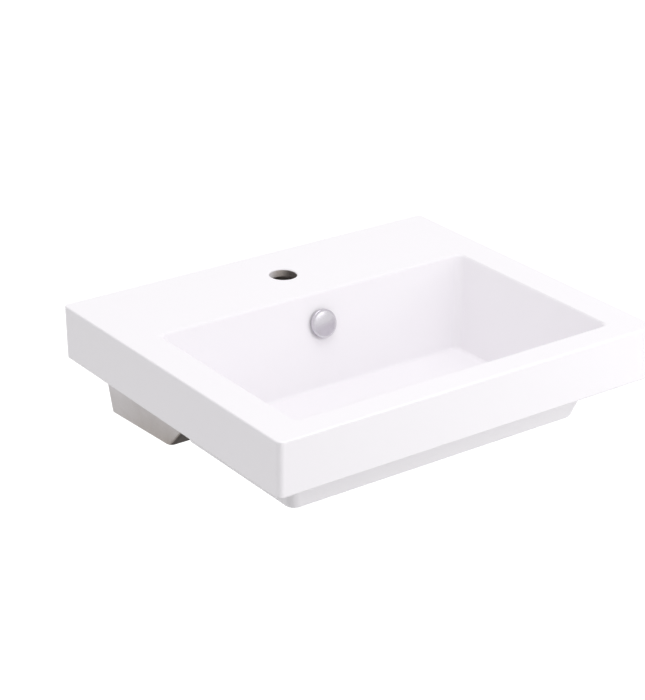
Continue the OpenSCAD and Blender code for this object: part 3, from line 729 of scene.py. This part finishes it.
def bare_clay_and_shade():
    """Where the basin shows raw clay, from its attributes and its place, and how that clay looks, painted
    darker where it stands for shade.
    """
    tree, given, result = group_io(
        "bare_clay_and_shade",
        [("Clay Light", "NodeSocketColor", CLAY_LIGHT), ("Clay Painted Shade", "NodeSocketColor", CLAY_PAINTED_SHADE)],
        [("Share", "NodeSocketFloat"), ("Colour", "NodeSocketColor"), ("Height", "NodeSocketFloat")])
    nodes, links, given = tree.nodes, tree.links, given.outputs

    def value_between(source, low, high, to_low=0.0, to_high=1.0):
        """A smooth step of a value between two limits."""
        step = nodes.new("ShaderNodeMapRange")
        step.interpolation_type = "SMOOTHSTEP"
        limits = {"From Min": low, "From Max": high, "To Min": to_low, "To Max": to_high}
        for label, number in limits.items():
            socket(step, label, number)
        join(links, step, Value=source)
        return step.outputs["Result"]

    def combine(operation, first, second, clamp=False):
        made = nodes.new("ShaderNodeMath")
        made.operation = operation
        made.use_clamp = clamp
        links.new(first, made.inputs[0])
        links.new(second, made.inputs[1])
        return made.outputs["Value"]

    def attribute(name):
        made = nodes.new("ShaderNodeAttribute")
        made.attribute_name = name
        return made.outputs["Fac"]

    def speckle(scale, detail):
        made = noise(nodes, detail)
        socket(made, "Scale", scale)
        join(links, made, Vector=place)
        return made.outputs["Fac"]

    place = nodes.new("ShaderNodeTexCoord").outputs["Object"]
    split = nodes.new("ShaderNodeSeparateXYZ")
    join(links, split, Vector=place)
    own, on_block = attribute("raw_clay_and_shade"), attribute("thin_glaze_and_shade")
    foot_z = rim(0, 0, -BLOCK_DROP).z

    # Glaze thins out down the blocks and towards their fronts, unevenly; this is partly painted shade under
    # the bowl
    low_down = value_between(split.outputs["Z"], foot_z + THIN_HIGH, foot_z + THIN_LOW)
    forward = value_between(split.outputs["Y"], 0.0, THIN_FRONT_Y, THIN_AT_BACK, 1.0)
    thin_and_shade = combine("MULTIPLY", combine("MULTIPLY", low_down, on_block), forward)
    blotch = value_between(speckle(45, 3), NOISE_LOW, NOISE_HIGH, 0.88, 1.0)
    uneven = combine("MULTIPLY", thin_and_shade, blotch)
    share = combine("MAXIMUM", own, uneven, clamp=True)

    # Painted shade: the clay darkens where its attribute goes past 1; it is also speckled
    shade_mix = colour_mix(nodes)
    join(links, shade_mix, Factor=value_between(own, 1.0, 2.0), A=given["Clay Light"], B=given["Clay Painted Shade"])
    speck = speckle(900, 5)
    dust = value_between(speck, NOISE_LOW, NOISE_HIGH, 0.8, 1.0)
    dusty = colour_mix(nodes, "MULTIPLY")
    socket(dusty, "Factor", 1.0)
    join(links, dusty, A=shade_mix.outputs["Result"], B=dust)
    join(links, result, Share=share, Colour=dusty.outputs["Result"],
         Height=combine("MULTIPLY", share, speck))
    return tree


def glaze_clay_and_shade():
    """White glaze, giving way to raw clay where the basin is bare, and to clay painted darker for shade in
    the hollow, the tap hole and the blocks' fronts.
    """
    material = finish_material("white_glaze", (0.938, 0.915, 0.945), (0.928, 0.905, 0.938), (0.28, 0.35),
                               grain_scale=90, patch_scale=6, bump=0.02, Specular_IOR_Level=0.28)
    nodes, links = material.node_tree.nodes, material.node_tree.links
    shader = nodes["Principled BSDF"]
    clay = nodes.new("ShaderNodeGroup")
    clay.node_tree = bare_clay_and_shade()
    base, roughness, normal = (shader.inputs[label].links[0].from_socket
                               for label in ("Base Color", "Roughness", "Normal"))
    share = clay.outputs["Share"]
    colour = colour_mix(nodes)
    join(links, colour, Factor=share, A=base, B=clay.outputs["Colour"])
    rough = nodes.new("ShaderNodeMapRange")
    socket(rough, "To Max", 0.85)
    join(links, rough, Value=share, To_Min=roughness)
    grit = bump_node(nodes, 0.5, 0.0006)
    join(links, grit, Height=clay.outputs["Height"], Normal=normal)
    join(links, shader, Base_Color=colour.outputs["Result"], Roughness=rough.outputs["Result"],
         Normal=grit.outputs["Normal"])
    return material


CHROME = finish_material("polished_chrome", (0.7, 0.71, 0.74), (0.66, 0.67, 0.7), (0.05, 0.1),
                         grain_scale=300, patch_scale=30, bump=0.01, metallic=1.0)
SATIN_CHROME = finish_material("satin_chrome", (0.65, 0.63, 0.67), (0.62, 0.6, 0.64), (0.2, 0.27),
                               grain_scale=500, patch_scale=40, bump=0.015, metallic=1.0)
RUBBER = finish_material("black_rubber", (0.02, 0.02, 0.02), (0.035, 0.035, 0.035), (0.6, 0.8), bump=0.2)
WHITE_PLASTIC = finish_material("white_moulding", (0.82, 0.82, 0.8), (0.78, 0.78, 0.76), (0.35, 0.5),
                                bump=0.08)
GREY_PLASTIC = finish_material("grey_moulding", (0.2, 0.2, 0.21), (0.16, 0.16, 0.17), (0.4, 0.55),
                               bump=0.08)
ZINC = finish_material("zinc_plate", (0.62, 0.64, 0.66), (0.5, 0.53, 0.57), (0.25, 0.45),
                       grain_scale=900, patch_scale=60, bump=0.15, metallic=1.0)
BRASS = finish_material("machined_brass", (0.78, 0.6, 0.28), (0.7, 0.52, 0.24), (0.2, 0.35),
                        grain_scale=700, patch_scale=40, bump=0.1, metallic=1.0)
STEEL = finish_material("spring_steel", (0.6, 0.61, 0.63), (0.5, 0.51, 0.53), (0.2, 0.35), metallic=1.0)

basin = make_basin()
basin.data.materials.clear()
basin.data.materials.append(glaze_clay_and_shade())
dress(WHITE_PLASTIC, "plunger", "cartridge_housing")
dress(GREY_PLASTIC, "overflow_insert", "cartridge_end")
dress(STEEL, "cartridge_spring")


# Fittings, with heights from the rim, and from the wall plane or the bowl's back wall for what sits there

# Waste: the tube, its thread and the rings that ride on it
WASTE_R = 20.95
WASTE_ROOT_R = 19.7
WASTE_BORE_R = 18.75
WASTE_PITCH = 2.309
SEAT_R = 22
FLANGE_R = 31.5
FLANGE_T = 3
RING_BORE_R = 21.05
GASKET_T = 2
FLANGE_Z = RECESS_Z + GASKET_T
FLANGE_TOP = FLANGE_Z + FLANGE_T
TAIL_Z = (WASTE_LOW.z - RIM_Z) / MM
CONE_FOOT = BOSS_FOOT - 6
SLIP_FOOT = CONE_FOOT - 1.5
NUT_FOOT = SLIP_FOOT - 9
SPIDER_TOP = FLANGE_TOP - 20
SPIDER_T = 6
SPIDER_ARMS = 3

# Plug and overflow cap
PLUG_R = 32
PLUG_LOW = FLANGE_TOP + 1.3
CAP_R = 18
CAP_GAP = 2.2
CAP_FACE = 8.2

# Wall fixings
BOLT_BACK = -70
BOLT_FRONT = 44
BOLT_CORE_R = 4.15
BOLT_TIP_R = 4.98
SCREW_CORE_R = 3.3
SCREW_R = 4.8
SHANK_R = 4.3
SHANK_L = 12
BOLT_BORE_R = 5.1
SLEEVE_R = 11.9
COLLAR_R = 17
COLLAR_TOP = BACK_WALL + 3
WASHER_TOP = COLLAR_TOP + 2.5
NUT_TOP = WASHER_TOP + 8


def fitting(node, bm, matrix, material, body="basin"):
    """A finished fitting in place of the plain piece of the construction."""
    placed(bm, matrix)
    crease(bm, FITTING_CREASE)
    piece = new_piece(node + "_made", bm, body)
    piece.data.materials.append(material)
    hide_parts(node)


def ring(inner, outer, low, high, edge, steps=96):
    """A flat ring with rounded outer and broken inner edges."""
    start = (inner, low + edge)
    return spun([start, (inner + edge, low)] + arc(outer - edge, low + edge, edge, -90, 0, 4)
                + arc(outer - edge, high - edge, edge, 0, 90, 4)
                + [(inner + edge, high), (inner, high - edge), start], steps)


def thread(root_r, tip_r, pitch, low, high, steps):
    """The helical ridge of a screw thread, its root a little inside the core."""
    bm = bmesh.new()
    turns = (high - low) / pitch - 0.9
    root = root_r - 0.3
    outline = [(root, low + 0.05), (tip_r, low + 0.42 * pitch), (tip_r, low + 0.52 * pitch),
               (root, low + 0.88 * pitch)]
    face = bm.faces.new([bm.verts.new((r * MM, 0, z * MM)) for r, z in outline])
    bmesh.ops.spin(bm, geom=[face], cent=(0, 0, 0), axis=UP, dvec=(0, 0, pitch * MM / steps),
                   angle=math.tau * turns, steps=round(steps * turns), use_merge=False, use_duplicate=False)
    bmesh.ops.recalc_face_normals(bm, faces=bm.faces)
    return bm


def hexagon(across_flats, bore_r, low, high, chamfer=0.14):
    """A nut with chamfered corners and a countersunk bore."""
    corner = across_flats / 2 / math.cos(math.pi / 6)
    bm = bmesh.new()
    at = Matrix.Translation(local(0, 0, low)) @ Matrix.Rotation(math.pi / 6, 4, "Z")
    bmesh.ops.create_circle(bm, cap_ends=True, segments=6, radius=corner * MM, matrix=at)
    extrude_all(bm, local(0, 0, high - low))
    fall, flat = corner * chamfer * 0.6, corner * (1 - chamfer * 1.05)
    sink, past, around = 0.6, 0.01, corner + 0.2
    within = [(bore_r, low + sink), (bore_r + sink, low - past), (flat, low - past), (around, low + fall),
              (around, high - fall), (flat, high + past), (bore_r + sink, high + past),
              (bore_r, high - sink), (bore_r, low + sink)]
    return cut_mesh(bm, spun(within), "INTERSECT")


def make_waste():
    """Flanged tube with its slots, spider and outside thread."""
    bore, root, edge = WASTE_BORE_R, WASTE_ROOT_R, FLANGE_T / 2
    tube = spun([(bore, TAIL_Z + 0.8), (bore + 0.6, TAIL_Z), (root - 0.5, TAIL_Z), (root, TAIL_Z + 0.6),
                 (root, NUT_FOOT), (root, BOSS_FOOT - 3), (WASTE_R, BOSS_FOOT - 1), (WASTE_R, FLANGE_Z)]
                + arc(FLANGE_R - edge, FLANGE_Z + edge, edge, -90, 90, 10)
                + [(SEAT_R + 1, FLANGE_TOP), (SEAT_R + 0.3, FLANGE_TOP - 0.15), (SEAT_R, FLANGE_TOP - 0.5),
                   (bore, FLANGE_Z), (bore, TAIL_Z + 0.8)], 128)
    foot = SPIDER_TOP - SPIDER_T
    parts = [ring(8.1, 11, foot, SPIDER_TOP, 0.4, 64)]
    for turn in range(SPIDER_ARMS):
        slot = block(local(8, -9, DUCT_FLOOR_Z + 1), local(30, 9, DUCT_TOP_Z - 1))
        tube = cut_mesh(tube, turned(slot, 150 + 120 * turn), "DIFFERENCE")
        arm = block(local(10.5, -2, foot), local(19.5, 2, SPIDER_TOP))
        parts.append(turned(arm, 90 + 120 * turn))
    parts.append(thread(root, WASTE_R, WASTE_PITCH, NUT_FOOT - 0.8, BOSS_FOOT - 1.5, 64))
    parts.append(thread(root, WASTE_R, WASTE_PITCH, TAIL_Z + 0.4, NUT_FOOT - 3.2, 64))
    return together(tube, *parts)


def make_plug_cap():
    """Gently crowned disc with a rounded edge, on a short stem."""
    edge, rise, steps = 1.75, 1.35, 14
    flat_r, top, stem_r = PLUG_R - edge, PLUG_LOW + 2 * edge, 8
    crown = [(flat_r - flat_r * i / steps, top + rise * math.sin(math.pi / 2 * i / steps))
             for i in range(1, steps + 1)]
    cap = spun([(0, PLUG_LOW)] + arc(flat_r, PLUG_LOW + edge, edge, -90, 90, 12) + crown, 128)
    stem = spun([(0, PLUG_LOW - 4), (stem_r - 0.4, PLUG_LOW - 4), (stem_r, PLUG_LOW - 3.6),
                 (stem_r, PLUG_LOW + 0.3), (0, PLUG_LOW + 0.3)], 64)
    return together(cap, stem)


def make_overflow_cap():
    """Domed disc with a bevelled rim round its face, over a shadow gap."""
    r, gap, face, edge, rise, steps = CAP_R, CAP_GAP, CAP_FACE, 1.4, 1.5, 12
    dome = [((r - 2.6) * (1 - i / steps), face - rise * (1 - i / steps) ** 2) for i in range(steps + 1)]
    shell = spun([(r - 1.2, gap + 0.3), (r - 0.9, gap), (r - 0.3, gap), (r, gap + 0.3)]
                 + arc(r - edge, face - 2.6, edge, 0, 62)
                 + [(r - 2.0, face - rise), (r - 2.4, face - rise)] + dome
                 + [(0, face - 2), (r - 3.2, face - 3), (r - 1.2, face - 3.8), (r - 1.2, gap + 0.3)], 128)
    post = spun([(0, gap), (5.5, gap), (5.5, face - 1.3), (0, face - 1.3)], 48)
    return together(shell, post)


def make_hanger_bolt():
    """Wood thread with a point on the wall side of the plane, machine thread on the other."""
    point_l = 10
    core = spun([(0, BOLT_BACK), (0.4, BOLT_BACK + 0.3), (SCREW_CORE_R, BOLT_BACK + point_l),
                 (SCREW_CORE_R, -1), (SCREW_R, 0), (SHANK_R, 0.6), (SHANK_R, SHANK_L),
                 (BOLT_CORE_R, SHANK_L + 0.6), (BOLT_CORE_R, BOLT_FRONT - 0.8), (3.7, BOLT_FRONT),
                 (0, BOLT_FRONT)], 48)
    coarse = thread(SCREW_CORE_R, SCREW_R, 4.0, BOLT_BACK + 4, -1, 36)
    # The wood thread shrinks onto the point
    for vert in coarse.verts:
        share = max(0.12, min(1, (vert.co.z / MM - BOLT_BACK + 0.5) / (point_l + 0.5)))
        vert.co.x *= share
        vert.co.y *= share
    return together(core, coarse, thread(BOLT_CORE_R, BOLT_TIP_R, 1.5, SHANK_L + 0.2, BOLT_FRONT - 0.4, 32))


def make_sleeve():
    """Plastic sleeve of a fixing hole, with a collar on the room's side."""
    bore, under = BOLT_BORE_R, BACK_WALL + 0.02
    return spun([(bore, 1.3), (bore + 0.3, 1), (SLEEVE_R - 0.5, 1), (SLEEVE_R, 1.6), (SLEEVE_R, under),
                 (COLLAR_R - 0.6, under), (COLLAR_R, BACK_WALL + 0.6)]
                + arc(COLLAR_R - 1, COLLAR_TOP - 1, 1, 0, 90, 4)
                + [(bore + 0.5, COLLAR_TOP), (bore, COLLAR_TOP - 0.5), (bore, 1.3)], 64)


def make_cone_washer():
    return spun([(RING_BORE_R, CONE_FOOT)] + arc(31, CONE_FOOT + 1, 1, -90, 10, 6)
                + arc(29.2, BOSS_FOOT - 0.8, 0.8, 10, 90, 4)
                + [(RING_BORE_R, BOSS_FOOT), (RING_BORE_R, CONE_FOOT)])


def make_back_nut():
    return together(hexagon(56, RING_BORE_R, NUT_FOOT, SLIP_FOOT - 2, 0.1),
                    ring(RING_BORE_R, 29, SLIP_FOOT - 2.2, SLIP_FOOT, 0.5))


def make_fittings():
    seal = ring(11.1, 23.9, FLANGE_TOP + 0.3, FLANGE_TOP + 2.7, 0.6)
    gasket = ring(RING_BORE_R, 30, RECESS_Z, FLANGE_Z, 0.5)
    slip_washer = ring(RING_BORE_R, 31, SLIP_FOOT, CONE_FOOT, 0.4)
    fitting("waste_body", make_waste(), AT_WASTE, CHROME)
    fitting("plug_cap", make_plug_cap(), AT_WASTE, CHROME, "plug")
    fitting("plug_seal", seal, AT_WASTE, RUBBER, "plug")
    fitting("waste_gasket", gasket, AT_WASTE, RUBBER)
    fitting("cone_washer", make_cone_washer(), AT_WASTE, RUBBER)
    fitting("slip_washer", slip_washer, AT_WASTE, WHITE_PLASTIC)
    fitting("back_nut", make_back_nut(), AT_WASTE, BRASS)
    fitting("overflow_cap", make_overflow_cap(), overflow_frame(), SATIN_CHROME)
    for side, name in ((-1, "left"), (1, "right")):
        at = at_fixing(side)
        washer = ring(BOLT_BORE_R, 15, COLLAR_TOP, WASHER_TOP, 0.4, 64)
        nut = hexagon(17, BOLT_BORE_R, WASHER_TOP, NUT_TOP)
        fitting(f"hanger_bolt_{name}", make_hanger_bolt(), at, ZINC)
        fitting(f"fixing_sleeve_{name}", make_sleeve(), at, WHITE_PLASTIC)
        fitting(f"fixing_washer_{name}", washer, at, ZINC)
        fitting(f"fixing_nut_{name}", nut, at, ZINC)


make_fittings()


# Stage, light and camera, in metres

# Low enough for the soft shadow, and below every lamp
FLOOR_LEVEL = RIM_Z - 0.85
FLOOR_GREY = 0.24
WHITE = (1.0, 1.0, 1.0, 1.0)
# Light of the world on the object; what sees the background itself sees plain white
WORLD_STRENGTH = 0.785
# Points that the lamps aim at
BOWL_MIDDLE = (0, -0.25, 0.05)
BOWL_FOOT = (0, -0.25, 0.0)
# The photograph's long side and its camera's focal length, in pixels
PHOTO_H = 700
FOCAL_PX = 2164.486


def ray_is(nodes, links, *kinds):
    """1 for rays of the given kinds."""
    rays = nodes.new("ShaderNodeLightPath").outputs
    found = rays[kinds[0]]
    for kind in kinds[1:]:
        either = nodes.new("ShaderNodeMath")
        either.operation = "MAXIMUM"
        links.new(found, either.inputs[0])
        links.new(rays[kind], either.inputs[1])
        found = either.outputs["Value"]
    return found


def make_floor():
    bm = bmesh.new()
    bmesh.ops.create_circle(bm, cap_ends=True, segments=64, radius=30)
    bmesh.ops.translate(bm, vec=(0, 0, FLOOR_LEVEL), verts=bm.verts)
    floor = new_piece("floor", bm, body=None, smooth=False)
    material = bpy.data.materials.new("pale_floor")
    material.use_nodes = True
    nodes, links = material.node_tree.nodes, material.node_tree.links
    shader = nodes["Principled BSDF"]
    socket(shader, "Base Color", (FLOOR_GREY, FLOOR_GREY, FLOOR_GREY, 1))
    socket(shader, "Roughness", 0.9)
    socket(shader, "Specular IOR Level", 0.0)
    socket(shader, "Emission Color", WHITE)
    join(links, shader, Emission_Strength=ray_is(nodes, links, "Is Camera Ray", "Is Glossy Ray"))
    # Clear from below, so that the underside can be looked at
    side = nodes.new("ShaderNodeNewGeometry")
    clear = nodes.new("ShaderNodeBsdfTransparent")
    either = nodes.new("ShaderNodeMixShader")
    links.new(side.outputs["Backfacing"], either.inputs["Fac"])
    links.new(shader.outputs["BSDF"], either.inputs[1])
    links.new(clear.outputs["BSDF"], either.inputs[2])
    join(links, nodes["Material Output"], Surface=either.outputs["Shader"])
    floor.data.materials.append(material)


def make_world():
    world = bpy.data.worlds.new("studio")
    bpy.context.scene.world = world
    world.use_nodes = True
    nodes, links = world.node_tree.nodes, world.node_tree.links
    background = nodes["Background"]
    socket(background, "Color", WHITE)
    choose = nodes.new("ShaderNodeMapRange")
    socket(choose, "To Min", WORLD_STRENGTH)
    socket(choose, "To Max", 1.0)
    seen = ray_is(nodes, links, "Is Camera Ray", "Is Transmission Ray", "Is Glossy Ray")
    join(links, choose, Value=seen)
    join(links, background, Strength=choose.outputs["Result"])


def soft_light(name, place, aim, size, power, mirrored=True):
    """A rectangular lamp; gloss and metal don't mirror it where mirrored is False."""
    lamp = bpy.data.lights.new(name, "AREA")
    lamp.shape = "RECTANGLE"
    lamp.size, lamp.size_y = size
    lamp.energy = power
    light = bpy.data.objects.new(name, lamp)
    bpy.context.scene.collection.objects.link(light)
    light.visible_glossy = mirrored
    light.location = place
    light.rotation_mode = "QUATERNION"
    light.rotation_quaternion = (Vector(aim) - Vector(place)).to_track_quat("-Z", "Y")


def make_camera():
    """The photograph's camera, solved from the edges of the rim, apron and bowl."""
    azimuth, elevation, roll = (math.radians(a) for a in (-36.859, 24.312, 1.0547))
    distance = 2.56306
    target = Vector((-0.05918, -0.23479, RIM_Z - 0.0275))
    back = Vector((math.sin(azimuth) * math.cos(elevation),
                   -math.cos(azimuth) * math.cos(elevation), math.sin(elevation)))
    lens = bpy.data.cameras.new("camera")
    lens.sensor_width = 36
    lens.lens = FOCAL_PX * lens.sensor_width / PHOTO_H
    lens.clip_end = 100
    camera = bpy.data.objects.new("camera", lens)
    bpy.context.scene.collection.objects.link(camera)
    camera.location = target + back * distance
    camera.rotation_mode = "QUATERNION"
    aim = (-back).to_track_quat("-Z", "Y")
    camera.rotation_quaternion = aim @ Matrix.Rotation(roll, 4, "Z").to_quaternion()
    bpy.context.scene.camera = camera


make_floor()
make_world()
soft_light("front_low", (1.6, -2.6, -0.32), BOWL_FOOT, (1.4, 0.6), 28.8)
soft_light("front_mid", (1.7, -2.7, 0.8), BOWL_MIDDLE, (1.2, 0.7), 5.9, mirrored=False)
soft_light("front_high", (1.0, -2.4, 1.9), BOWL_MIDDLE, (1.6, 1.6), 9.7)
soft_light("overhead", (0.0, -0.3, 2.9), BOWL_MIDDLE, (1.6, 1.6), 15.6)
soft_light("left", (-3.0, -1.0, -0.2), BOWL_FOOT, (1.4, 0.6), 14.2)
make_camera()
bpy.context.scene.view_settings.view_transform = "Standard"
